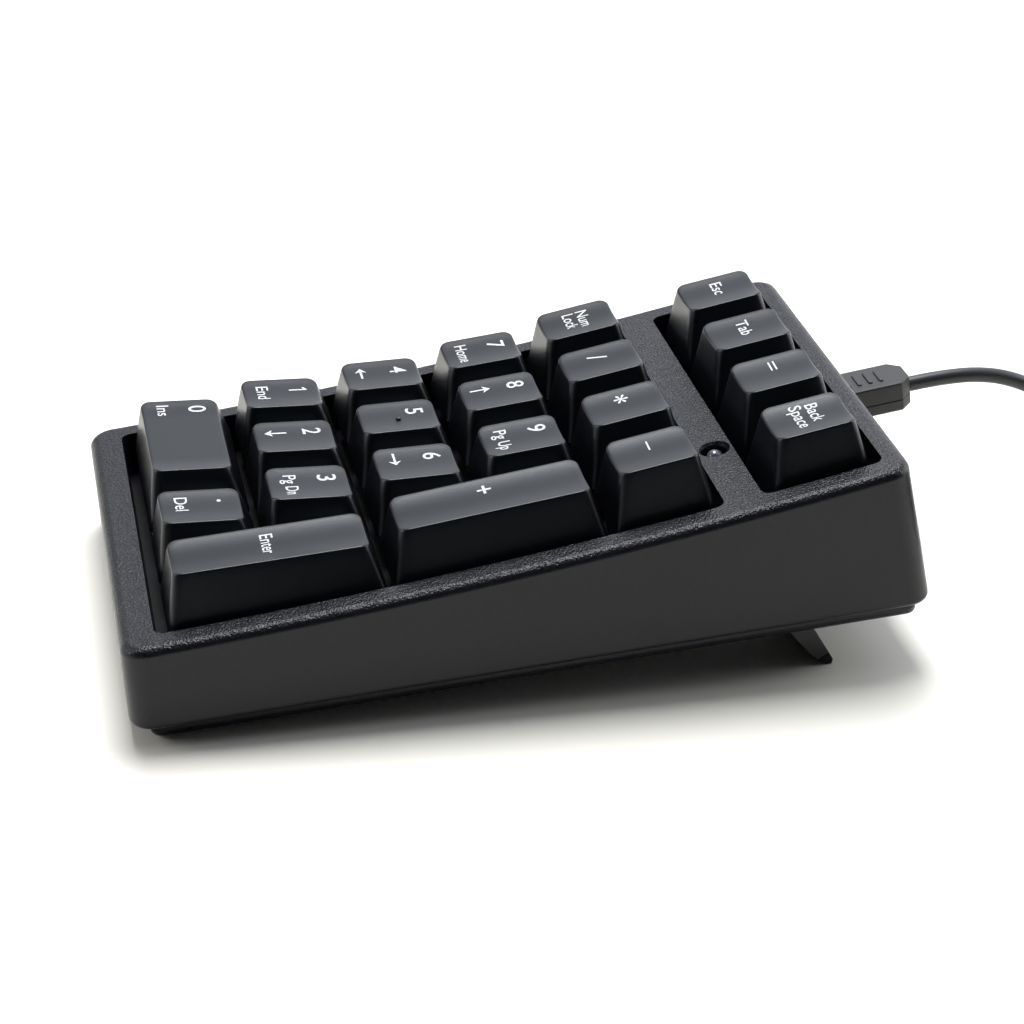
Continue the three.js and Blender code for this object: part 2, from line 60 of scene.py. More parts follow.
# ---- frames and sizes (mm)
PITCH = 19.05
DECK_TILT = math.atan2(-JOINTS["press_0"]["axis"][1], JOINTS["press_0"]["axis"][2])
BASE_TILT = math.atan2(MOUNTS["front_pad_left"]["axis"][1], -MOUNTS["front_pad_left"]["axis"][2])
WEDGE = DECK_TILT - BASE_TILT
BEZEL_SLOPE = math.radians(1.0)
BEZEL_RADIUS = 1111
BEZEL_LOW_V = 51
ORIGIN = Vector(JOINTS["press_0"]["pos_m"]) + Vector((PITCH * MM, 0, 0))
DECK = Matrix.Translation(ORIGIN) @ Matrix.Rotation(DECK_TILT, 4, "X")
BASE = Matrix.Translation(ORIGIN) @ Matrix.Rotation(BASE_TILT, 4, "X")
TABLE = Matrix.Identity(4)
HANDS = ((-1, "left"), (1, "right"))
DECK_IN_BASE = Matrix.Rotation(WEDGE, 3, "X")

CASE_HALF = 43.6
CASE_EDGE_Z = -14.7
CASE_FRONT = (-17.42, 0.0175)
CASE_REAR = (121.3, 0.1405)
CASE_CORNER = 4.5
CASE_WALL = 2.2
FRAME_UNDERSIDE = -6.4
WELL_HALF = 38.75
WELL_CORNER = 1.8
WELLS = [(-11.17, 86.37), (92.9, 114.28)]
TRAY_INSET = 2.5
TRAY_AHEAD = 0.7
TRAY_BOTTOM = -17.92
TRAY_WALL = 1.8
TRAY_FLOOR = 2.0
TRAY_RIM = -8.6
SOCKET_U, SOCKET_W = -12.3, -9.7
LAMP_U, LAMP_V = 18.7, 89.7
SCREW_X = 36.0
SCREW_Y = (4.0, 74.0)
FOOT_SPAN = (22.5, 38.9)
FOOT_PIVOT = (97.0, -15.1)
FOOT_LEAN = math.radians(30.5)
RECESS = {"x": (22.2, 39.2), "y": (80.5, 100.6), "z": -12.4}
PAD = {"x": 33, "wide": 12, "deep": 6, "y": (-11, 106), "bottom": -18.28, "top": -17.22}
PAD_GAP = 0.3

SKIRT_Z = -0.7
CAP_GAP = 0.95
TOP_HALF = 6.17
TOP_FRONT, TOP_REAR = -6.25, 7.6
DISH = 0.74
EDGE_RADIUS = 0.42
STABILISER_ARM = 11.94
SPRING_FLOOR, SPRING_CEILING, SPRING_BORE = -11.0, -2.0, 2.5

PLUG = {"half": 4.6, "high": 5.9, "front": 119.42, "rear": 134.95}
LEAD_RADIUS = 1.45
LEAD_LENGTH = 1.5
LEAD_ROUTE = [
    (86.8, 28.7), (91.4, 29.05), (96.2, 29.0), (101.0, 28.2), (105.5, 26.6), (109.8, 24.3),
    (113.8, 21.4), (117.6, 18.1), (121.4, 14.6), (125.2, 11.2), (129.3, 8.1), (133.4, 5.4),
    (136.0, 4.1), (139.6, 2.7), (143.6, 2.05),
]
COIL_CENTRE = (9.0, 148.0)
COIL_ROWS, COIL_LAYERS = 4, 3
COIL_PITCH = 3.02
COIL_LAYER = 2.92
COIL_OUTER = 21.3
COIL_LIFT = 1.95
COIL_TURNS, COIL_STEPS = 13.25, 28
TIE_ANGLE = math.radians(-62)
RELIEF_RADII = (1.9, 2.9)
HOST = {"x": 35.0, "y": 169.3, "wide": 15.5, "high": 7.6, "grip": 24.0, "shell": (12.0, 4.5, 12.0)}


def put(name, data, place=TABLE):
    """A new object in the scene."""
    obj = bpy.data.objects.new(name, data)
    obj.matrix_world = place
    bpy.context.scene.collection.objects.link(obj)
    return obj


# ---- camera
CAMERA_PLACE = (0.421637, -0.081100, 0.235438)
CAMERA_LENS = 93.538


def make_camera():
    data = bpy.data.cameras.new("camera")
    data.sensor_width = 36
    data.lens = CAMERA_LENS
    data.clip_start = 0.01
    right = Vector((0.198315, 0.980138, 0.00004))
    forward = Vector((-0.872502, 0.176554, -0.455598))
    turn = Matrix((right, right.cross(forward), -forward)).transposed().to_4x4()
    bpy.context.scene.camera = put("camera", data, Matrix.Translation(CAMERA_PLACE) @ turn)


make_camera()


# ---- materials
class Nodes:
    """The node tree of a material or of the world, and helpers that add to it."""

    def __init__(self, owner, shader):
        owner.use_nodes = True
        self.tree = owner.node_tree
        self.shader = self.tree.nodes[shader]

    def feed(self, node, inputs):
        """Sets a node's inputs to numbers and colours, or links them to other nodes' outputs."""
        for key, value in inputs.items():
            if isinstance(value, bpy.types.NodeSocket):
                self.tree.links.new(value, node.inputs[key])
            else:
                node.inputs[key].default_value = value

    def shade(self, inputs):
        self.feed(self.shader, inputs)

    def node(self, kind, output, inputs=None):
        node = self.tree.nodes.new(kind)
        self.feed(node, inputs or {})
        return node.outputs[output]

    def remap(self, value, low, high, source=(0.3, 0.7)):
        return self.node("ShaderNodeMapRange", "Result", {
            "Value": value, "From Min": source[0], "From Max": source[1], "To Min": low,
            "To Max": high})

    def product(self, a, b):
        node = self.tree.nodes.new("ShaderNodeMath")
        node.operation = "MULTIPLY"
        self.feed(node, {0: a, 1: b})
        return node.outputs["Value"]

    def component(self, vector, axis):
        return self.node("ShaderNodeSeparateXYZ", axis, {"Vector": vector})


class Paint(Nodes):
    """A material, with textures in its object's own space."""

    def __init__(self, name):
        self.mat = bpy.data.materials.new(name)
        super().__init__(self.mat, "Principled BSDF")
        self.space = self.node("ShaderNodeTexCoord", "Object")

    def noise(self, size_mm, detail=2.0, rough=0.5, space=None):
        return self.node("ShaderNodeTexNoise", "Fac", {
            "Scale": 1.0 / (size_mm * MM), "Detail": detail, "Roughness": rough,
            "Vector": space or self.space})

    def bump(self, height, depth_mm, below=None):
        inputs = {"Distance": depth_mm * MM, "Height": height}
        if below:
            inputs["Normal"] = below
        return self.node("ShaderNodeBump", "Normal", inputs)

    def tint(self, fac, dark, light):
        node = self.tree.nodes.new("ShaderNodeMix")
        node.data_type = "RGBA"
        self.feed(node, {"A": (*dark, 1), "B": (*light, 1), "Factor": fac})
        self.shade({"Base Color": node.outputs["Result"]})


def moulded(name, colour, roughness, grain_mm, depth_mm, specular=0.5, spread=0.06, vary=0.12):
    """Moulded plastic or rubber: a fine grain, patches of slightly different gloss and tone."""
    paint = Paint(name)
    grain = paint.noise(grain_mm, 3.0, 0.6)
    patches = paint.noise(14)
    dark = [c * (1 - vary) for c in colour]
    light = [c * (1 + vary) for c in colour]
    paint.tint(paint.remap(patches, 0, 1), dark, light)
    paint.shade({"Roughness": paint.remap(patches, roughness - spread, roughness + spread),
                 "Normal": paint.bump(grain, depth_mm), "Specular IOR Level": specular})
    return paint.mat


def case_plastic():
    """Charcoal plastic: coarse sparkling grain on the bezel, a quieter one on the walls."""
    paint = Paint("case_plastic")
    grain, fine, patches = paint.noise(0.42, 1.0, 0.6), paint.noise(0.12, 1.0), paint.noise(22)
    normal = paint.node("ShaderNodeNewGeometry", "Normal")
    upward = paint.remap(paint.component(normal, "Z"), 0.05, 1.0, (0.2, 0.85))
    paint.tint(paint.remap(patches, 0, 1), (0.0042, 0.0047, 0.0074), (0.0056, 0.0062, 0.0094))
    coarse = paint.bump(paint.product(grain, upward), 0.21)
    paint.shade({"Roughness": paint.remap(fine, 0.27, 0.37), "Specular IOR Level": 0.28,
                 "Normal": paint.bump(fine, 0.008, below=coarse)})
    return paint.mat


def key_plastic():
    """Satin key plastic with a very fine spark-eroded texture."""
    paint = Paint("key_plastic")
    fine, patches = paint.noise(0.16, 2.0, 0.6), paint.noise(9)
    paint.tint(paint.remap(patches, 0, 1), (0.0013, 0.0016, 0.0034), (0.0021, 0.0024, 0.0046))
    paint.shade({"Roughness": paint.remap(fine, 0.28, 0.35), "Specular IOR Level": 0.40,
                 "Specular Tint": (0.92, 0.96, 1.0, 1), "Normal": paint.bump(fine, 0.010)})
    return paint.mat


def metal(name, colour, roughness, grain_mm=0.3):
    """Steel with fine drawn lines."""
    paint = Paint(name)
    stretched = paint.node("ShaderNodeMapping", "Vector", {"Scale": (0.08, 1, 1),
                                                           "Vector": paint.space})
    lines = paint.noise(grain_mm, 3.0, space=stretched)
    paint.shade({"Base Color": (*colour, 1), "Metallic": 1, "Normal": paint.bump(lines, 0.004),
                 "Roughness": paint.remap(lines, roughness - 0.08, roughness + 0.08)})
    return paint.mat


def lamp_epoxy():
    paint = Paint("lamp_lens")
    paint.tint(paint.noise(0.5), (0.050, 0.055, 0.076), (0.080, 0.086, 0.110))
    paint.shade({"Roughness": 0.16, "Coat Weight": 0.6})
    return paint.mat


def printed():
    paint = Paint("printed_legend")
    paint.tint(paint.noise(0.25), (0.56, 0.56, 0.56), (0.64, 0.64, 0.64))
    paint.shade({"Roughness": 0.45})
    return paint.mat


def board_resist():
    """Solder resist with copper tracks showing through as slightly raised lines."""
    paint = Paint("board_resist")
    brick = paint.tree.nodes.new("ShaderNodeTexBrick")
    paint.feed(brick, {
        "Scale": 300, "Mortar Size": 0.02, "Color1": (0.010, 0.060, 0.026, 1),
        "Color2": (0.008, 0.050, 0.022, 1), "Mortar": (0.022, 0.120, 0.050, 1),
        "Vector": paint.space})
    paint.shade({"Base Color": brick.outputs["Color"], "Roughness": 0.3,
                 "Normal": paint.bump(brick.outputs["Fac"], 0.03)})
    return paint.mat


CASE = case_plastic()
KEY = key_plastic()
LEGEND = printed()
SWITCH = moulded("switch_plastic", (0.005, 0.005, 0.0055), 0.45, 0.3, 0.01, specular=0.25)
SLIDER = moulded("slider_plastic", (0.055, 0.022, 0.012), 0.35, 0.3, 0.006)
PLATE = moulded("plate_paint", (0.003, 0.003, 0.0035), 0.55, 0.5, 0.01, specular=0.2)
BOARD = board_resist()
RUBBER = moulded("rubber", (0.012, 0.012, 0.012), 0.78, 0.4, 0.02, specular=0.3)
FOOT = moulded("foot_plastic", (0.014, 0.014, 0.015), 0.5, 0.25, 0.012)
LAMP = lamp_epoxy()
WIRE = metal("wire_steel", (0.55, 0.56, 0.58), 0.25)
TIN = metal("tinned_shell", (0.62, 0.62, 0.61), 0.28)
SCREW = metal("screw_steel", (0.07, 0.07, 0.075), 0.4)
GRIP = moulded("lead_grip", (0.017, 0.017, 0.019), 0.5, 0.22, 0.02)
JACKET = moulded("lead_jacket", (0.020, 0.021, 0.023), 0.42, 0.6, 0.008)
TONGUE = moulded("contact_block", (0.75, 0.75, 0.72), 0.4, 0.4, 0.004)
LABEL = moulded("blank_label", (0.30, 0.30, 0.30), 0.55, 0.6, 0.004)
TIE = moulded("tie_band", (0.015, 0.015, 0.016), 0.8, 0.5, 0.05)


# ---- mesh tools
def weigh_normals(obj):
    obj.modifiers.new("weighted", "WEIGHTED_NORMAL").keep_sharp = True
    return obj


def finish_mesh(obj, sharp=32, weighted=True):
    bm = bmesh.new()
    bm.from_mesh(obj.data)
    bmesh.ops.remove_doubles(bm, verts=bm.verts, dist=1e-7)
    bmesh.ops.recalc_face_normals(bm, faces=bm.faces)
    bm.to_mesh(obj.data)
    bm.free()
    obj.data.shade_smooth()
    obj.data.set_sharp_from_angle(angle=math.radians(sharp))
    return weigh_normals(obj) if weighted else obj


def mesh_object(name, points, faces, place=TABLE):
    """An object from points in millimetres."""
    mesh = bpy.data.meshes.new(name)
    mesh.from_pydata([Vector(p) * MM for p in points], [], faces)
    return put(name, mesh, place)


def solid(name, points, faces, place, sharp=32, weighted=True):
    """A closed body with clean normals, sharp where its faces meet at more than an angle."""
    return finish_mesh(mesh_object(name, points, faces, place), sharp, weighted)


def skin(rings, close=True):
    """Points and faces of the skin through rings of equally many points."""
    n = len(rings[0])
    points = [p for ring in rings for p in ring]
    faces = [(k * n + i, k * n + (i + 1) % n, (k + 1) * n + (i + 1) % n, (k + 1) * n + i)
             for k in range(len(rings) - 1) for i in range(n)]
    if close:
        last = (len(rings) - 1) * n
        faces += [tuple(reversed(range(n))), tuple(range(last, last + n))]
    return points, faces


def combine(*parts):
    points, faces = [], []
    for some, more in parts:
        faces += [tuple(i + len(points) for i in face) for face in more]
        points += list(some)
    return points, faces


def about(middle, half):
    return (middle - half, middle + half)


def rounded(x, y, r, n=5, sides=1):
    """Points of a rectangle with round corners, anticlockwise, each side cut into so many steps."""
    corners = [(x[1] - r, y[0] + r, -90), (x[1] - r, y[1] - r, 0),
               (x[0] + r, y[1] - r, 90), (x[0] + r, y[0] + r, 180)]
    arcs = [[(cx + r * math.cos(math.radians(a + 90 * i / n)),
              cy + r * math.sin(math.radians(a + 90 * i / n))) for i in range(n + 1)]
            for cx, cy, a in corners]
    points = []
    for arc, after in zip(arcs, arcs[1:] + arcs[:1]):
        points += arc
        (x0, y0), (x1, y1) = arc[-1], after[0]
        points += [(x0 + (x1 - x0) * i / sides, y0 + (y1 - y0) * i / sides)
                   for i in range(1, sides)]
    return points


def quarter(steps):
    """A quarter circle, as how far it stays short of 1 across and up."""
    turns = [math.pi / 2 * i / steps for i in range(steps + 1)]
    return [(1 - math.sin(a), 1 - math.cos(a)) for a in turns]


def slab(x, y, z, corner, edge=0.0, n=5, bottom_edge=None):
    """A block with round upright corners and rounded upper and lower edges."""
    low = edge if bottom_edge is None else bottom_edge
    levels = [(-low * s, z[0] + low * c) for s, c in (quarter(3) if low else [(0, 0)])]
    levels += [(-edge * c, z[1] - edge * s) for s, c in (quarter(3) if edge else [(0, 0)])]
    return skin([[(px, py, h) for px, py in rounded(
        (x[0] - g, x[1] + g), (y[0] - g, y[1] + g), max(corner + g, 0.05), n)]
        for g, h in levels])


def drum(centre, radius, z, n=24, edge=0.0, steps=3):
    """An upright round body with rounded upper and lower edges."""
    if not edge:
        return lathe(centre, [(radius, z[0]), (radius, z[1])], n)
    levels = [(radius - edge * s, z[0] + edge * c) for s, c in quarter(steps)]
    levels += [(radius - edge * c, z[1] - edge * s) for s, c in quarter(steps)]
    return lathe(centre, levels, n)


def lathe(centre, profile, n=28):
    """An upright turned body from radii and heights."""
    turns = [2 * math.pi * i / n for i in range(n)]
    return skin([[(centre[0] + r * math.cos(a), centre[1] + r * math.sin(a), h) for a in turns]
                 for r, h in profile])


def moved(part, matrix):
    points, faces = part
    return [tuple(matrix @ Vector(p)) for p in points], faces


def evaluated_mesh(obj):
    bpy.context.view_layer.update()
    return bpy.data.meshes.new_from_object(
        obj.evaluated_get(bpy.context.evaluated_depsgraph_get()))


def carve(obj, *cutters):
    """Cuts the given parts (points and faces, mm, in obj's frame) out of obj."""
    for points, faces in cutters:
        tool = solid("cutter", points, faces, obj.matrix_world, weighted=False)
        cut = obj.modifiers.new("cut", "BOOLEAN")
        cut.operation, cut.solver, cut.object = "DIFFERENCE", "EXACT", tool
        result = evaluated_mesh(obj)
        obj.modifiers.remove(cut)
        obj.data = result
        bpy.data.objects.remove(tool)


def soften(obj, chosen, width):
    """Rounds the edges that chosen(edge) picks."""
    bm = bmesh.new()
    bm.from_mesh(obj.data)
    bmesh.ops.remove_doubles(bm, verts=bm.verts, dist=2e-6)
    bm.normal_update()
    edges = [e for e in bm.edges if len(e.link_faces) == 2 and chosen(e)]
    bmesh.ops.bevel(bm, geom=edges, offset=width * MM, segments=3, profile=0.5,
                    affect="EDGES", clamp_overlap=True)
    bm.to_mesh(obj.data)
    bm.free()


def dress(obj, material, body, *nodes, slot):
    """Gives obj its material, its body and the CAD nodes that it stands for."""
    obj.data.materials.clear()
    obj.data.materials.append(material)
    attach(obj, body)
    if nodes:
        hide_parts(*nodes)
    return obj


# ---- lead
def ease(t):
    return t * t * (3 - 2 * t)


def catmull(points, each=5):
    """A smooth line through the points."""
    ends = [points[0] * 2 - points[1], *points, points[-1] * 2 - points[-2]]
    line = []
    for a, b, c, d in zip(ends, ends[1:], ends[2:], ends[3:]):
        for i in range(each):
            t = i / each
            line.append(0.5 * (2 * b + (c - a) * t + (2 * a - 5 * b + 4 * c - d) * t * t
                               + (3 * b - a - 3 * c + d) * t ** 3))
    return [*line, points[-1]]


def coil_point(turn, squeeze):
    """Where the lead is after so many turns: layers wound inwards, outwards, inwards, then out."""
    inner = COIL_OUTER - (COIL_ROWS - 1) * COIL_PITCH
    full = COIL_ROWS * COIL_LAYERS

    def radius_and_height(n):
        if n >= full:
            return inner, COIL_LIFT + COIL_LAYERS * COIL_LAYER
        layer, k = divmod(n, COIL_ROWS)
        r = inner + k * COIL_PITCH if layer % 2 else COIL_OUTER - k * COIL_PITCH
        return r, COIL_LIFT + layer * COIL_LAYER

    n = min(int(turn), full)
    r, z = radius_and_height(n)
    if n < full:
        step = ease(max(0.0, (turn - n - 0.72) / 0.28))
        r2, z2 = radius_and_height(n + 1)
        r, z = r + (r2 - r) * step, z + (z2 - z) * step
    else:
        r += (COIL_OUTER - inner) * ease(min(1.0, (turn - full) / 1.25))
    angle = math.pi - 2 * math.pi * turn
    r -= squeeze
    return Vector((COIL_CENTRE[0] + r * math.cos(angle), COIL_CENTRE[1] + r * math.sin(angle), z))


def lead_line(squeeze):
    """The cord from the plug to the far grip, with the coil's turns tightened by squeeze."""
    plug_end = (SOCKET_U, PLUG["rear"] - 1.0, SOCKET_W)
    start = DECK @ Vector([c * MM for c in plug_end]) / MM
    free = [start, *(Vector((SOCKET_U, y, z)) for y, z in LEAD_ROUTE)]
    turns = [coil_point(i / COIL_STEPS, squeeze)
             for i in range(1, int(COIL_TURNS * COIL_STEPS) + 1)]
    last = turns[-1]
    tail = [Vector((last.x + s, last.y, last.z + (HOST["high"] / 2 - last.z) * ease(s / 27)))
            for s in (4, 8, 12, 16, 20, 24, 27)]
    return catmull([*free, coil_point(0, squeeze)]) + turns + tail


def tube(name, line, radius, material, *nodes, swell=lambda i: 1.0):
    """A round cord of the lead along a line of points, swell(i) times as thick at point i."""
    curve = bpy.data.curves.new(name, "CURVE")
    curve.dimensions = "3D"
    curve.bevel_depth = radius * MM
    curve.bevel_resolution = 5
    curve.use_fill_caps = True
    spline = curve.splines.new("POLY")
    spline.points.add(len(line) - 1)
    for i, (point, place) in enumerate(zip(spline.points, line)):
        point.co = (*(place * MM), 1)
        point.radius = swell(i)
    spline.use_smooth = True
    return dress(put(name, curve), material, "case", *nodes, slot="lead_plastic")


def fitted_line():
    """The line whose coil is tightened until the cord has its full length."""
    low, high = -1.5, 1.5
    for _ in range(24):
        middle = (low + high) / 2
        line = lead_line(middle)
        if sum((b - a).length for a, b in zip(line, line[1:])) * MM > LEAD_LENGTH:
            low = middle
        else:
            high = middle
    return lead_line((low + high) / 2)


def make_relief(line):
    """A ribbed, flared strain relief along the last part of the cord."""
    first, last = RELIEF_RADII

    def swell(i):
        return first + (last - first) * i / (len(line) - 1) - (0.18 if i % 2 else 0)

    return tube("host_relief", line, 1.0, GRIP, swell=swell)


def make_plug():
    """Overmoulded grip of the keypad's end of the lead, with its parting groove and grip ribs."""
    half, high, front = PLUG["half"], PLUG["high"], PLUG["front"]
    outline = [(half, 0), (half, 1.0), (half, 4.0), (half, 8.0), (half, 11.5), (half, 12.9),
               (half - 0.15, 13.15), (half - 2.1, 15.1), (half - 2.45, 15.25), (half - 3.2, 15.3)]
    levels = [(-1, 0.6), (-0.95, 0.25), (-0.86, 0.06), (-0.7, 0), (-0.24, 0), (-0.2, 0.22),
              (-0.16, 0), (0.3, 0), (0.84, 0), (0.93, 0.07), (0.98, 0.22), (1, 0.42)]
    rings = []
    for level, inset in levels:
        right = [(SOCKET_U + max(x - inset, 0.3), front + min(y, 15.3 - inset)) for x, y in outline]
        left = [(2 * SOCKET_U - x, y) for x, y in reversed(right)]
        rings.append([(x, y, SOCKET_W + level * high / 2) for x, y in right + left])
    grip = solid("plug_grip", *skin(rings), DECK, sharp=35)
    dress(grip, GRIP, "case", "cable_plug", slot="lead_plastic")
    top = SOCKET_W + high / 2
    ribs = solid("plug_ribs", *combine(*[
        slab(about(SOCKET_U, 2.3), (v, v + 0.9), (top - 0.2, top + 0.28), 0.4, 0.2)
        for v in (front + 3.2 + 2.1 * i for i in range(4))]), DECK)
    dress(ribs, GRIP, "case", slot="lead_plastic")
    shell = solid("plug_shell", *slab(about(SOCKET_U, 3.3), (front - 6.6, front + 1),
                                      about(SOCKET_W, 0.8), 0.4, 0.2), DECK)
    dress(shell, TIN, "case", slot="lead_plastic")
    return [grip, ribs, shell]


def make_host_plug():
    """The rectangular plug at the far end: moulded grip, metal shell and the tongue inside."""
    x, y, wide, high, grip = HOST["x"], HOST["y"], HOST["wide"], HOST["high"], HOST["grip"]
    along = Matrix(((0, 0, 1), (1, 0, 0), (0, 1, 0)))
    levels = [(0, 1.6), (0.4, 0.8), (1.2, 0.25), (2.4, 0), (8, 0), (9, 0.25), (10, 0.25), (11, 0),
              (12.5, 0), (13.5, 0.25), (14.5, 0.25), (15.5, 0), (grip - 1.4, 0), (grip - 0.5, 0.25),
              (grip, 0.9)]
    rings = []
    for s, inset in levels:
        outline = rounded(about(y, wide / 2 - inset), (inset, high - inset), 2.0 - inset)
        rings.append([(x + s, py, pz) for py, pz in outline])
    body = solid("host_grip", *skin(rings), TABLE, sharp=40)
    dress(body, GRIP, "case", "host_plug", slot="lead_plastic")
    long, thick, broad = HOST["shell"]
    start = x + grip - 1
    end = x + grip + long
    middle = high / 2
    outer = rounded(about(y, broad / 2), about(middle, thick / 2), 0.5, 3)
    inner = rounded(about(y, broad / 2 - 0.35), about(middle, thick / 2 - 0.35), 0.3, 3)
    tube = skin([[(start, *p) for p in inner], [(start, *p) for p in outer],
                 [(end - 0.1, *p) for p in outer], [(end, *p) for p in inner],
                 [(start + 0.5, *p) for p in inner]], close=False)
    shell = solid("host_shell", tube[0], tube[1] + [tuple(range(4 * 16, 5 * 16))], TABLE)
    dress(shell, TIN, "case", slot="lead_plastic")
    tongue = solid("host_tongue", *moved(slab(
        about(y, broad / 2 - 0.7), (middle - thick / 2 + 0.4, middle - 0.1),
        (start + 0.6, end - 0.6), 0.2, 0.1), along), TABLE)
    dress(tongue, TONGUE, "case", slot="lead_plastic")
    return [body, shell, tongue]


def make_tie():
    """A soft band round all the turns of the coil."""
    inner = COIL_OUTER - (COIL_ROWS - 1) * COIL_PITCH - LEAD_RADIUS
    outer = COIL_OUTER + LEAD_RADIUS
    top = COIL_LIFT + COIL_LAYERS * COIL_LAYER + LEAD_RADIUS
    out = Vector((math.cos(TIE_ANGLE), math.sin(TIE_ANGLE), 0))
    side = Vector((-math.sin(TIE_ANGLE), math.cos(TIE_ANGLE), 0))
    inside, outside = [rounded((inner - offset - 0.1, outer + offset + 0.1),
                               (0.45 - offset, top + offset + 0.1), 1.5 + offset, 6)
                       for offset in (0.0, 0.45)]

    def place(point, along):
        return Vector((*COIL_CENTRE, 0)) + out * point[0] + side * along + Vector((0, 0, point[1]))

    loops = [[place(p, a) for p in path] for path, a in
             ((inside, -3), (outside, -3), (outside, 3), (inside, 3))]
    points, faces = skin(loops + [loops[0]], close=False)
    band = solid("coil_tie", points, faces, TABLE, sharp=40)
    return dress(band, TIE, "case", slot="lead_plastic")


lead_points = fitted_line()
lead = tube("lead_cord", lead_points, LEAD_RADIUS, JACKET, "cable_lead", "cable_coil")
plug_pieces = make_plug()
host_pieces = make_host_plug()
relief = make_relief(lead_points[-6:])
tie = make_tie()


# ---- top case
def bezel_height(y):
    """Height of the hollow bezel curve above the base plane."""
    tilt = WEDGE + BEZEL_SLOPE
    centre_y = BEZEL_LOW_V * math.cos(tilt) - BEZEL_RADIUS * math.sin(tilt)
    centre_z = BEZEL_LOW_V * math.sin(tilt) + BEZEL_RADIUS * math.cos(tilt)
    return centre_z - math.sqrt(BEZEL_RADIUS ** 2 - (y - centre_y) ** 2)


def bezel_over_deck(v):
    """Height of the bezel above the deck's key plane, at a distance v along it."""
    w = 0.0
    for _ in range(4):
        y = v * math.cos(WEDGE) - w * math.sin(WEDGE)
        w = (bezel_height(y) - v * math.sin(WEDGE)) / math.cos(WEDGE)
    return w


LAMP_RIM = bezel_over_deck(LAMP_V)
LAMP_TOP = LAMP_RIM - 0.25


def deck_height(w):
    """Height above the base plane of the deck level w, as a function of y."""
    return lambda y: y * math.tan(WEDGE) + w / math.cos(WEDGE)


def wall_loop(grow, height, ahead=0.0):
    """Outline of the case at a height given as a function of y, moved outwards by grow."""
    n, stations = 7, 26
    r = max(CASE_CORNER + grow, 0.3)
    x = CASE_HALF + grow
    half = []
    for arc, low in ((range(n + 1), True), (range(1, stations), None), (range(n + 1), False)):
        for i in arc:
            y, z = 50.0, height(50.0)
            for _ in range(4):
                front = CASE_FRONT[0] + CASE_FRONT[1] * (z - CASE_EDGE_Z) - grow + ahead
                rear = CASE_REAR[0] - CASE_REAR[1] * (z - CASE_EDGE_Z) + grow
                if low is None:
                    px, y = x, front + r + (rear - front - 2 * r) * i / stations
                else:
                    a = math.radians((-90 if low else 0) + 90 * i / n)
                    px = x - r + r * math.cos(a)
                    y = (front + r if low else rear - r) + r * math.sin(a)
                z = height(y)
            half.append((px, y, z))
    return half + [(-px, y, z) for px, y, z in reversed(half)]


def across(rings):
    """Skin through wall loops whose two ends are closed by strips from side to side."""
    points, faces = skin(rings, close=False)
    n = len(rings[0])
    last = (len(rings) - 1) * n
    for i in range(n // 2 - 1):
        faces.append((i, n - 1 - i, n - 2 - i, i + 1))
        faces.append((last + i, last + i + 1, last + n - 2 - i, last + n - 1 - i))
    return points, faces


def level(z):
    return lambda y: z


def socket_mouth():
    """The opening for the lead's plug in the rear wall."""
    return moved(slab(about(SOCKET_U, 4.5), (112.6, 126), about(SOCKET_W, 3.2), 0.3),
                 DECK_IN_BASE)


def make_top_case():
    rings = [wall_loop(-1.2 * s, level(CASE_EDGE_Z + 1.2 * c)) for s, c in quarter(7)]
    rings += [wall_loop(-1.8 * c, lambda y, drop=1.7 * s: bezel_height(y) - drop)
              for s, c in quarter(7)]
    case = solid("top_shell", *across(rings), BASE)
    hollow = across([wall_loop(-CASE_WALL, level(CASE_EDGE_Z - 2)),
                     wall_loop(-CASE_WALL, deck_height(FRAME_UNDERSIDE))])
    wells = [moved(slab((-WELL_HALF, WELL_HALF), v, (FRAME_UNDERSIDE - 1, 30), WELL_CORNER, n=6),
                   DECK_IN_BASE) for v in WELLS]
    lamp_hole = moved(lathe((LAMP_U, LAMP_V), [
        (2.3, FRAME_UNDERSIDE - 1), (2.3, LAMP_RIM - 0.55), (2.38, LAMP_RIM - 0.4),
        (2.85, LAMP_RIM + 0.05), (2.85, 30)], 40), DECK_IN_BASE)
    carve(case, hollow, *wells, lamp_hole, socket_mouth())

    def on_well_edge(edge):
        if abs(edge.verts[0].co.x) > (WELL_HALF + 1.45) * MM:
            return False
        if any(abs(v.co.z / MM - bezel_height(v.co.y / MM)) > 0.05 for v in edge.verts):
            return False
        tops = sorted(face.normal.z for face in edge.link_faces)
        return tops[0] < 0.4 < 0.8 < tops[1]

    soften(case, on_well_edge, 0.45)
    finish_mesh(case, 30)
    return dress(case, CASE, "case", "top_case", slot="case_plastic")


# ---- bottom case
def mirrored(side, span):
    return span if side > 0 else (-span[1], -span[0])


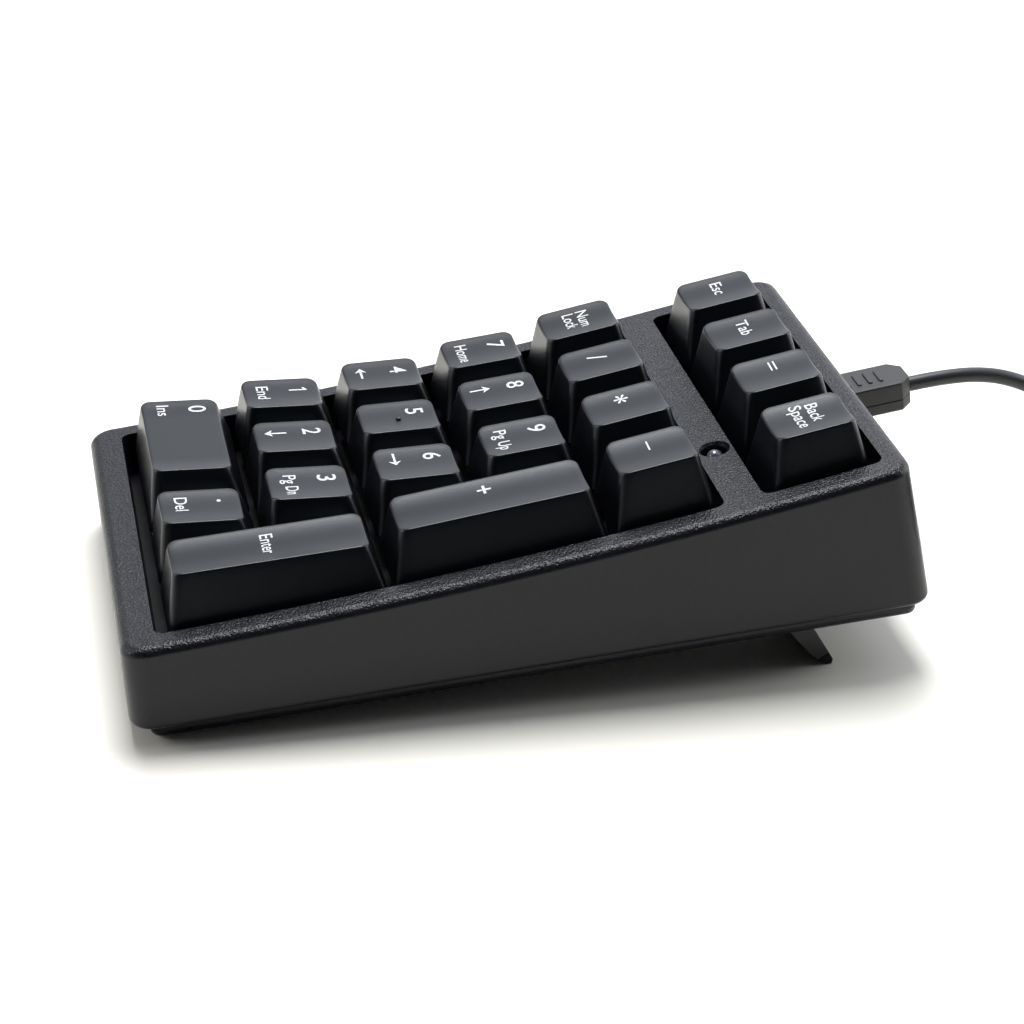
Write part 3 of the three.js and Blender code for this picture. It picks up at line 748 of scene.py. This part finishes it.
def make_bottom_case():
    grow = -TRAY_INSET
    rings = [wall_loop(grow - 1.6 * s, level(TRAY_BOTTOM + 1.6 * c), TRAY_AHEAD)
             for s, c in quarter(4)]
    rings.append(wall_loop(grow, deck_height(TRAY_RIM), TRAY_AHEAD))
    tray = solid("bottom_tray", *across(rings), BASE)
    limit = CASE_REAR[0] - TRAY_INSET
    beyond = slab((-60, 60), (limit, limit + 20), (-30, 30), 0.1)
    hollow = across([wall_loop(grow - TRAY_WALL, level(z), TRAY_AHEAD)
                     for z in (TRAY_BOTTOM + TRAY_FLOOR, 30)])
    cuts = [beyond, hollow, socket_mouth()]
    for side, hand in HANDS:
        for y in PAD["y"]:
            cuts.append(slab(about(side * PAD["x"], PAD["wide"] / 2 + PAD_GAP),
                             (y - PAD_GAP, y + PAD["deep"] + PAD_GAP),
                             (TRAY_BOTTOM - 1, TRAY_BOTTOM + 1.0), 1.0))
        for y in SCREW_Y:
            cuts.append(drum((side * SCREW_X, y), 3.0, (TRAY_BOTTOM - 1, TRAY_BOTTOM + 1.2), 24))
        cuts.append(slab(mirrored(side, RECESS["x"]), RECESS["y"],
                         (TRAY_BOTTOM - 1, TRAY_BOTTOM + TRAY_FLOOR + 1), 0.8))
        make_recess(side, hand)
    carve(tray, *cuts)
    finish_mesh(tray, 30)
    dress(tray, CASE, "case", "bottom_case", slot="case_plastic")


def make_recess(side, hand):
    """The pocket moulded into the tray for one foot."""
    x, y, top = mirrored(side, RECESS["x"]), RECESS["y"], RECESS["z"]
    wall = 0.9
    outer = rounded((x[0] - wall, x[1] + wall), (y[0] - wall, y[1] + wall), 1.2)
    inner = rounded(x, y, 0.8)
    low = TRAY_BOTTOM + 0.5
    points, faces = skin([[(*p, low) for p in inner], [(*p, low) for p in outer],
                          [(*p, top + wall) for p in outer]], close=False)
    n = len(outer)
    faces.append(tuple(range(2 * n, 3 * n)))
    points += [(*p, top) for p in inner]
    faces += [(i, 3 * n + i, 3 * n + (i + 1) % n, (i + 1) % n) for i in range(n)]
    faces.append(tuple(range(3 * n, 4 * n)))
    pocket = solid(f"foot_pocket_{hand}", points, faces, BASE)
    dress(pocket, CASE, "case", slot="case_plastic")


def make_pads():
    for side, hand in HANDS:
        for y, end in zip(PAD["y"], ("front", "rear")):
            x = side * PAD["x"]
            pad = solid(f"rubber_{end}_{hand}", *slab(
                about(x, PAD["wide"] / 2), (y, y + PAD["deep"]), (PAD["bottom"], PAD["top"]), 1.4,
                0.05, bottom_edge=0.4), BASE)
            dress(pad, RUBBER, "case", f"{end}_pad_{hand}", slot="rubber")


def make_screws():
    """Case screws sunk in the underside, with cross recesses."""
    z = TRAY_BOTTOM + 0.35
    for side, hand in HANDS:
        for i, y in enumerate(SCREW_Y):
            x = side * SCREW_X
            head = solid(f"case_screw_{hand}_{i}", *drum((x, y), 2.5, (z, z + 1.2), 24, 0.35), BASE)
            carve(head, *[slab(about(x, a), about(y, b), (z - 1, z + 0.6), 0.1)
                          for a, b in ((1.5, 0.3), (0.3, 1.5))])
            finish_mesh(head, 30)
            dress(head, SCREW, "case", slot="case_plastic")


def make_label():
    """A blank rating label, let into the underside."""
    label = solid("blank_label", *slab(
        (-18, 18), (34, 62), (TRAY_BOTTOM - 0.12, TRAY_BOTTOM + 0.05), 1.5, 0.02), BASE)
    dress(label, LABEL, "case", slot="case_plastic")


# ---- feet
def foot_point(s, left):
    """A point of the open foot: s along it from the pivot, left towards its front face."""
    return (FOOT_PIVOT[0] + s * math.sin(FOOT_LEAN) - left * math.cos(FOOT_LEAN),
            FOOT_PIVOT[1] - s * math.cos(FOOT_LEAN) - left * math.sin(FOOT_LEAN))


def foot_profile(first, last):
    """Outline of the foot between two distances along it."""
    faces = [(2.8, 2.2, -1.55), (4.9, 2.05, -1.55), (7.4, 1.8, -1.42), (9.4, 1.6, -1.3),
             (10.9, 1.2, -1.18), (11.9, 0.75, -1.1), (12.55, 0.3, -1.05)]
    chosen = [f for f in faces if first <= f[0] <= last]
    front = [foot_point(s, a) for s, a, _ in chosen]
    rear = [foot_point(s, b) for s, _, b in reversed(chosen)]
    return front, rear


def prism_x(outline, x, edge):
    """Runs an outline in (y, z) along x, with its end edges taken off."""
    middle_y, middle_z = (sum(c) / len(outline) for c in zip(*outline))

    def ring(at, amount):
        points = []
        for y, z in outline:
            dy, dz = y - middle_y, z - middle_z
            shrink = max(0.0, 1 - amount / max(math.hypot(dy, dz), 1e-6))
            points.append((at, middle_y + dy * shrink, middle_z + dz * shrink))
        return points

    return skin([ring(x[0], edge), ring(x[0] + edge * 0.35, edge * 0.25), ring(x[0] + edge, 0),
                 ring(x[1] - edge, 0), ring(x[1] - edge * 0.35, edge * 0.25), ring(x[1], edge)])


def make_feet():
    for side, hand in HANDS:
        x = mirrored(side, FOOT_SPAN)
        front, rear = foot_profile(0, 11.0)
        head = [(FOOT_PIVOT[0] + 2.1 * math.cos(a), FOOT_PIVOT[1] + 2.1 * math.sin(a))
                for a in (math.pi - FOOT_LEAN + 0.1 - (math.pi + 0.1) * i / 14 for i in range(15))]
        leg = prism_x(front + rear + list(reversed(head)), x, 0.35)
        pins = moved(drum((0, 0), 1.0, (x[0] - 1.1, x[1] + 1.1), 20, 0.2),
                     Matrix(((0, 0, 1), (0, 1, 0), (-1, 0, 0))))
        pins = ([(p[0], p[1] + FOOT_PIVOT[0], p[2] + FOOT_PIVOT[1]) for p in pins[0]], pins[1])
        foot = solid(f"foot_leg_{hand}", *combine(leg, pins), BASE, sharp=38)
        dress(foot, FOOT, f"foot_{hand}", f"foot_{hand}", slot="case_plastic")
        front, rear = foot_profile(10.5, 13)
        sole = [(102.9, -26.11), (104.0, -26.186)]
        tip = solid(f"foot_tip_{hand}", *prism_x(front + sole + rear, x, 0.3), BASE, sharp=38)
        dress(tip, RUBBER, f"foot_{hand}", slot="rubber")


# ---- keys
# Heights of a cap's top at its front and rear edges.
ROWS = {
    "low": (9.42, 6.93),
    "home": (8.51, 6.82),
    "upper": (8.54, 8.1),
    "high": (9.88, 10.5),
}
# Width and depth in pitches, and the row or its own two heights.
KEYS = {
    **{name: (1, 1, "high") for name in ("esc", "tab", "equals", "back_space",
                                         "num_lock", "divide", "multiply", "minus")},
    **{name: (1, 1, "upper") for name in "789"},
    **{name: (1, 1, "home") for name in "456"},
    **{name: (1, 1, "low") for name in ("1", "2", "3", "decimal")},
    "plus": (1, 2, (8.47, 8.42)),
    "enter": (1, 2, (9.5, 7.13)),
    "0": (2, 1, (9.8, 7.3)),
}


class Cap:
    """The shape of one keycap, in its own frame in millimetres."""

    def __init__(self, name):
        self.wide, self.deep, row = KEYS[name]
        self.heights = ROWS[row] if isinstance(row, str) else row
        self.half = TOP_HALF if self.wide == 1 else 14.9
        extra = PITCH / 2 * (self.deep - 1)
        self.front, self.rear = TOP_FRONT - extra, TOP_REAR + extra
        self.base = ((self.wide * PITCH - CAP_GAP) / 2, (self.deep * PITCH - CAP_GAP) / 2)
        self.sides = 10 if self.wide + self.deep == 2 else 22

    def top(self, x, y):
        """Height of the hollow top."""
        t = (y - self.front) / (self.rear - self.front)
        plane = self.heights[0] + (self.heights[1] - self.heights[0]) * t
        edge = max(0.0, (abs(x) - (self.half - TOP_HALF)) / TOP_HALF)
        return plane - DISH * (1 - min(1.0, edge) ** 2)

    def loop(self, grow, corner, height):
        outline = rounded((-self.half - grow, self.half + grow),
                          (self.front - grow, self.rear + grow), corner, 6, self.sides)
        return [(x, y, height(x, y)) for x, y in outline]

    def side_loop(self, t, inset=0.0):
        """Outline of the side walls from the skirt (0) to the top edge (1)."""
        half = self.base[0] + (self.half - self.base[0]) * t - inset
        front = -self.base[1] + (self.front + self.base[1]) * t + inset
        rear = self.base[1] + (self.rear - self.base[1]) * t - inset
        corner = max(1.6 + 0.2 * t - inset, 0.25)
        return [(x, y, SKIRT_Z + (self.top(x, y) - SKIRT_Z) * t)
                for x, y in rounded((-half, half), (front, rear), corner, 6, self.sides)]

    def outside(self):
        """Rings from the skirt up the sides, over the rounded edge and in across the top."""
        slope = math.radians(15)
        reach = EDGE_RADIUS * (1 - math.sin(slope)) / math.cos(slope)
        last = 1 - EDGE_RADIUS * 1.1 / (self.heights[0] - SKIRT_Z)
        rings = [self.side_loop(t) for t in (0.0, 0.02, 0.2, 0.4, 0.6, 0.8, last)]
        for i in range(1, 6):
            a = slope + (math.pi / 2 - slope) * i / 5
            grow = -reach + EDGE_RADIUS * math.cos(a)
            drop = EDGE_RADIUS * (1 - math.sin(a))
            rings.append(self.loop(grow, 1.8 + grow, lambda x, y, d=drop: self.top(x, y) - d))
        rows = 10 if self.wide + self.deep == 2 else 16
        middle = (self.front + self.rear) / 2
        edge = rings[-1]
        for i in range(1, rows):
            s = 1 - i / rows
            inner = [(x * s, middle + (y - middle) * s) for x, y, _ in edge]
            rings.append([(x, y, self.top(x, y)) for x, y in inner])
        return rings

    def inside(self):
        """Rings of the hollow underside, from its ceiling down to the skirt."""
        def loop(inset_u, inset_v, z):
            return [(x, y, z) for x, y in rounded(
                (-self.base[0] + inset_u, self.base[0] - inset_u),
                (-self.base[1] + inset_v, self.base[1] - inset_v), 0.5, 6, self.sides)]
        return [loop(3.0, 2.6, 4.4), loop(1.5, 1.5, SKIRT_Z + 0.1), loop(1.3, 1.3, SKIRT_Z)]

    def body(self):
        """Underside, lip and outer skin as one closed skin."""
        return skin(self.inside() + self.outside())


def key_place(name):
    anchor = Vector(JOINTS[f"press_{name}"]["pos_m"])
    return Matrix.Translation(anchor) @ Matrix.Rotation(DECK_TILT, 4, "X")


def stem(cap):
    """Round stem socket under the cap, with posts over the stabiliser arms."""
    parts = [drum((0, 0), 2.8, (-0.4, 4.6), 20)]
    if cap.wide + cap.deep > 2:
        for side in (-1, 1):
            arm = side * STABILISER_ARM
            at = (arm, 0) if cap.wide > 1 else (0, arm)
            parts.append(drum(at, 2.2, (-0.1, 4.6), 12))
    return combine(*parts)


def slider_parts():
    """Hollow block over the spring, with the cross that carries the keycap."""
    outline = rounded((-3.3, 3.3), (-3.3, 3.3), 0.5)
    rim = [(x * 0.95, y * 0.95) for x, y in outline]
    first = math.radians(-82.5)
    turns = [first + 2 * math.pi * i / len(outline) for i in range(len(outline))]
    bore = [(SPRING_BORE * math.cos(a), SPRING_BORE * math.sin(a)) for a in turns]
    block = skin([[(x, y, z) for x, y in loop] for loop, z in (
        (bore, SPRING_CEILING), (bore, -6.6), (rim, -6.6), (outline, -6.4), (outline, -0.7),
        (rim, -0.5))])
    return combine(block, slab((-2.0, 2.0), (-0.55, 0.55), (-0.6, 3.4), 0.1),
                   slab((-0.55, 0.55), (-2.0, 2.0), (-0.6, 3.4), 0.1))


def make_keys():
    for name in KEYS:
        cap = Cap(name)
        place = key_place(name)
        body = f"key_{name}"
        shell = solid(f"cap_{name}", *combine(cap.body(), stem(cap)), place, 40, False)
        dress(shell, KEY, body, body, slot="key_plastic")
        slider = solid(f"slider_{name}", *slider_parts(), place)
        dress(slider, SLIDER, body, slot="switch_plastic")
    cap = Cap("5")
    top = cap.top(0, 0.6)
    nub = solid("homing_nub", *drum((0, 0.6), 0.55, (top - 0.3, top + 0.42), 20, 0.35, 4),
                key_place("5"), sharp=60)
    dress(nub, KEY, "key_5", slot="key_plastic")


# ---- legends
# Each legend: text or drawn mark, middle of it on the key top, width, height of its capitals.
WORD = 2.1
LEGENDS = {
    "0": [("0", -11.66, 3.85, 2.25, 3.25), ("Ins", -11.45, -2.4, 3.7, WORD)],
    "decimal": [(".", -2.5, 3.93, 0.75, 0.75), ("Del", -1.78, -2.57, 4.5, WORD)],
    "1": [("one", -2.4, 3.83, 0, 3.3), ("End", -1.3, -2.69, 5.0, WORD)],
    "2": [("2", -2.65, 3.98, 2.0, 3.3), ("down", -2.45, -2.51, 0, 3.95)],
    "3": [("3", -2.4, 4.02, 2.0, 3.3), ("Pg Dn", -0.05, -2.35, 7.37, WORD)],
    "4": [("4", -2.3, 3.91, 2.3, 3.1), ("left", -1.9, -3.03, 0, 3.85)],
    "5": [("5", -2.55, 3.87, 1.95, 3.2)],
    "6": [("6", -2.58, 3.83, 2.1, 3.2), ("right", -2.5, -2.77, 0, 3.9)],
    "7": [("7", -2.15, 3.89, 2.4, 3.2), ("Home", -0.37, -2.68, 7.3, WORD)],
    "8": [("8", -2.6, 3.9, 2.15, 3.2), ("up", -2.76, -2.62, 0, 3.75)],
    "9": [("9", -2.6, 3.85, 2.1, 3.3), ("Pg Up", -0.23, -2.65, 7.4, WORD)],
    "plus": [("+", -2.78, 0.24, 2.4, 2.4)],
    "enter": [("Enter", -0.65, 0.67, 6.5, WORD)],
    "num_lock": [("Num", -0.87, 2.03, 6.4, WORD), ("Lock", -1.0, -0.62, 5.85, WORD)],
    "divide": [("/", -2.4, 0.48, 1.5, 3.6)],
    "multiply": [("*", -2.73, 0.47, 2.5, 2.6)],
    "minus": [("-", -2.4, 0.55, 2.8, 0.3)],
    "esc": [("Esc", -1.63, 0.9, 4.6, WORD)],
    "tab": [("Tab", -1.55, 0.66, 5.45, WORD)],
    "equals": [("equals", -2.8, 0.85, 0, 2.8)],
    "back_space": [("Back", -1.16, 2.3, 6.0, WORD), ("Space", -0.75, -0.5, 7.75, WORD)],
}
DRAWN = {"up": 0, "left": 90, "down": 180, "right": 270, "one": 0, "equals": 0}
CAPITALS = 0.655                       # of the built-in typeface, as a part of its size
SIGN_SIZE = 4.6
LEGEND_LIFT = 0.022


def outline_mesh(text, wide, tall):
    """Flat mesh of a word in the built-in typeface, its middle at the origin."""
    curve = bpy.data.curves.new("legend", "FONT")
    curve.body = text
    word = len(text) > 1
    curve.size = tall / CAPITALS if word else SIGN_SIZE
    curve.offset = 0.018 if word else 0.03
    curve.resolution_u = 4
    obj = put("legend", curve)
    mesh = evaluated_mesh(obj)
    bpy.data.objects.remove(obj)
    bm = bmesh.new()
    bm.from_mesh(mesh)
    bmesh.ops.remove_doubles(bm, verts=bm.verts, dist=1e-4)
    bmesh.ops.triangulate(bm, faces=bm.faces)
    for _ in range(3):
        long = [e for e in bm.edges if e.calc_length() > 0.6]
        if long:
            bmesh.ops.subdivide_edges(bm, edges=long, cuts=1)
            bmesh.ops.triangulate(bm, faces=[f for f in bm.faces if len(f.verts) > 3])
    spans = [(min(c), max(c)) for c in zip(*((v.co.x, v.co.y) for v in bm.verts))]
    if word:                            # words stand on their line, signs fill their box
        spans[1] = (0.0, tall)
    middle = [(low + high) / 2 for low, high in spans]
    scale = [size / (high - low) for size, (low, high) in zip((wide, tall), spans)]
    points = [tuple((c - m) * k for c, m, k in zip(v.co, middle, scale)) for v in bm.verts]
    faces = [tuple(v.index for v in f.verts) for f in bm.faces]
    bm.free()
    bpy.data.meshes.remove(mesh)
    return points, faces


def drawn_mesh(mark, length):
    """A mark of plain strokes: an arrow with a swept head, a flagged figure one, an equals sign."""
    half, thick = length / 2, 0.2
    points, faces = [], []
    if mark == "one":
        strokes = [((0.3, -half), (0.3, half)), ((0.3, half - 0.1), (-0.5, half - 0.75))]
    elif mark == "equals":
        strokes, thick = [((-half, y), (half, y)) for y in (-0.43, 0.43)], 0.15
    else:
        strokes = [((0, -half), (0, half - 0.9))]
        points = [(0, half), (-1.1, half - 1.45), (0, half - 1.05), (1.1, half - 1.45)]
        faces = [(0, 1, 2), (0, 2, 3)]
    for (x0, y0), (x1, y1) in strokes:
        along = Vector((x1 - x0, y1 - y0)).normalized()
        side = Vector((-along.y, along.x)) * thick
        n = len(points)
        for i in range(5):
            t = i / 4
            at = Vector((x0 + (x1 - x0) * t, y0 + (y1 - y0) * t))
            points += [tuple(at + side), tuple(at - side)]
        faces += [(n + 2 * i, n + 2 * i + 1, n + 2 * i + 3, n + 2 * i + 2) for i in range(4)]
    a = math.radians(DRAWN[mark])
    return [(x * math.cos(a) - y * math.sin(a), x * math.sin(a) + y * math.cos(a))
            for x, y in points], faces


def make_legends():
    for name, marks in LEGENDS.items():
        cap = Cap(name)
        parts = []
        for text, u, v, wide, tall in marks:
            drawn = text in DRAWN
            flat, faces = drawn_mesh(text, tall) if drawn else outline_mesh(text, wide, tall)
            parts.append(([(x + u, y + v, cap.top(x + u, y + v) + LEGEND_LIFT) for x, y in flat],
                          faces))
        legend = mesh_object(f"legend_{name}", *combine(*parts), key_place(name))
        legend.data.validate()
        legend.data.shade_smooth()
        dress(legend, LEGEND, f"key_{name}", slot="key_plastic")


# ---- switches and wires
def switch_housing():
    """Body under the plate, flange on it, tapered top cut open for the slider, four latches."""
    rings = []
    for t, z in ((0, -5.85), (0.25, -4.5), (0.6, -2.6), (0.93, -0.8), (1, -0.55)):
        half = 7.0 - 1.4 * t - (0.25 if t == 1 else 0)
        rings.append([(x, y, z) for x, y in rounded((-half, half), (-half, half), 0.9)])
    shaft = slab((-3.7, 3.7), (-3.7, 3.7), (SPRING_FLOOR, 1), 0.3)
    parts = []
    for part in (slab((-6.8, 6.8), (-6.8, 6.8), (-11.5, -6.4), 0.5, 0.1),
                 slab((-7.7, 7.7), (-7.7, 7.7), (-6.5, -5.8), 0.8, 0.25), skin(rings)):
        piece = solid("part", *part, TABLE, weighted=False)
        carve(piece, shaft)
        parts.append(([tuple(v.co / MM) for v in piece.data.vertices],
                      [tuple(p.vertices) for p in piece.data.polygons]))
        bpy.data.objects.remove(piece)
    latches = [slab(about(a, 0.5), about(b, 0.3), (-5.9, -2.2), 0.2, 0.1)
               for a in (-3.4, 3.4) for b in (-6.5, 6.5)]
    return combine(*parts, *latches)


def make_switches():
    housing = None
    for name in KEYS:
        if housing is None:
            housing = solid(f"housing_{name}", *switch_housing(), key_place(name))
        else:
            housing = weigh_normals(put(f"housing_{name}", housing.data, key_place(name)))
        dress(housing, SWITCH, "case", f"switch_{name}", slot="switch_plastic")
        spring(name)


def spring(name):
    """Coil spring between a switch's floor and the bore of its slider."""
    turns, each, wire, radius = 9, 14, 0.14, 2.0
    low, high = SPRING_FLOOR + wire + 0.02, SPRING_CEILING - wire - 0.1
    rings = []
    for i in range(turns * each + 1):
        a = 2 * math.pi * i / each
        z = low + (high - low) * i / (turns * each)
        section = [(radius + wire * math.cos(b), z + wire * math.sin(b))
                   for b in (2 * math.pi * k / 6 for k in range(6))]
        rings.append([(r * math.cos(a), r * math.sin(a), h) for r, h in section])
    obj = solid(f"spring_{name}", *skin(rings), key_place(name), weighted=False)
    dress(obj, WIRE, "case", slot="wire_steel")
    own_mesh(obj)


# ---- lamp
def make_lamp():
    profile = [(1.7, -11.5), (1.7, -3.0), (1.5, -2.9), (1.5, LAMP_TOP - 1.5)]
    profile += [(1.5 * math.cos(a), LAMP_TOP - 1.5 + 1.5 * math.sin(a))
                for a in (math.pi / 2 * i / 8.3 for i in range(1, 9))]
    lamp = solid("lamp_dome", *lathe((LAMP_U, LAMP_V), profile), DECK, 50, False)
    dress(lamp, LAMP, "case", "indicator_lamp", slot="lamp_lens")


# ---- carried-over CAD nodes
def dress_nodes():
    finishes = {"switch_plate": PLATE, "circuit_board": BOARD}
    finishes.update({f"stabiliser_{name}": WIRE for name in ("0", "plus", "enter")})
    for node, material in finishes.items():
        obj = frame["nodes"][node]
        obj.data.materials.clear()
        obj.data.materials.append(material)


make_top_case()
make_bottom_case()
make_pads()
make_screws()
make_label()
make_feet()
make_keys()
make_legends()
make_switches()
make_lamp()
dress_nodes()


# ---- stage and light
FLOOR = [(-1.3, -0.95), (0.42, -0.95), (0.42, 0.95), (-1.3, 0.95)]
AIM = Vector((0, 0, 0.02))


def make_floor():
    """Sheet of pale paper; what lies past its edge behind the camera stays dark in reflections."""
    floor = mesh_object("floor", [(x / MM, y / MM, -0.02) for x, y in FLOOR], [(0, 1, 2, 3)])
    paper = Paint("floor_paper")
    paper.tint(paper.noise(60), (0.88, 0.860, 0.790), (0.90, 0.880, 0.810))
    paper.shade({"Roughness": 0.9, "Specular IOR Level": 0.1})
    floor.data.materials.append(paper.mat)


def area(name, place, size, power, colour=(1, 1, 1)):
    data = bpy.data.lights.new(name, "AREA")
    data.shape = "RECTANGLE"
    data.size, data.size_y = size
    data.energy = power
    data.color = colour
    turn = (AIM - Vector(place)).to_track_quat("-Z", "Y").to_matrix().to_4x4()
    put(name, data, Matrix.Translation(place) @ turn)


def make_world():
    """Bright studio wall on the keypad's far side, almost dark behind the camera."""
    world = bpy.data.worlds.new("studio")
    bpy.context.scene.world = world
    studio = Nodes(world, "Background")
    direction = studio.node("ShaderNodeTexCoord", "Generated")
    far = studio.remap(studio.component(direction, "X"), 0.9, 0.03, (-0.35, 0.4))
    rear = studio.remap(studio.component(direction, "Y"), 0.65, 1.75, (-0.15, 0.35))
    strength = studio.node("ShaderNodeMix", "Result", {   # the backdrop itself is pale all round
        "A": studio.product(far, rear), "B": 1.1,
        "Factor": studio.node("ShaderNodeLightPath", "Is Camera Ray")})
    studio.shade({"Strength": strength, "Color": (0.94, 0.985, 1.06, 1)})


make_floor()
make_world()
area("overhead", (-0.33, 0.02, 1.0), (0.46, 0.62), 14.0, (0.975, 0.985, 1.0))
area("rear_fill", (-0.05, 1.0, 0.4), (0.5, 0.5), 3.5)
area("front_fill", (-0.25, -1.0, 0.5), (0.6, 0.5), 3.5, (1.0, 0.97, 0.93))

bpy.context.scene.view_settings.view_transform = "Standard"
bpy.context.scene.view_settings.look = "None"
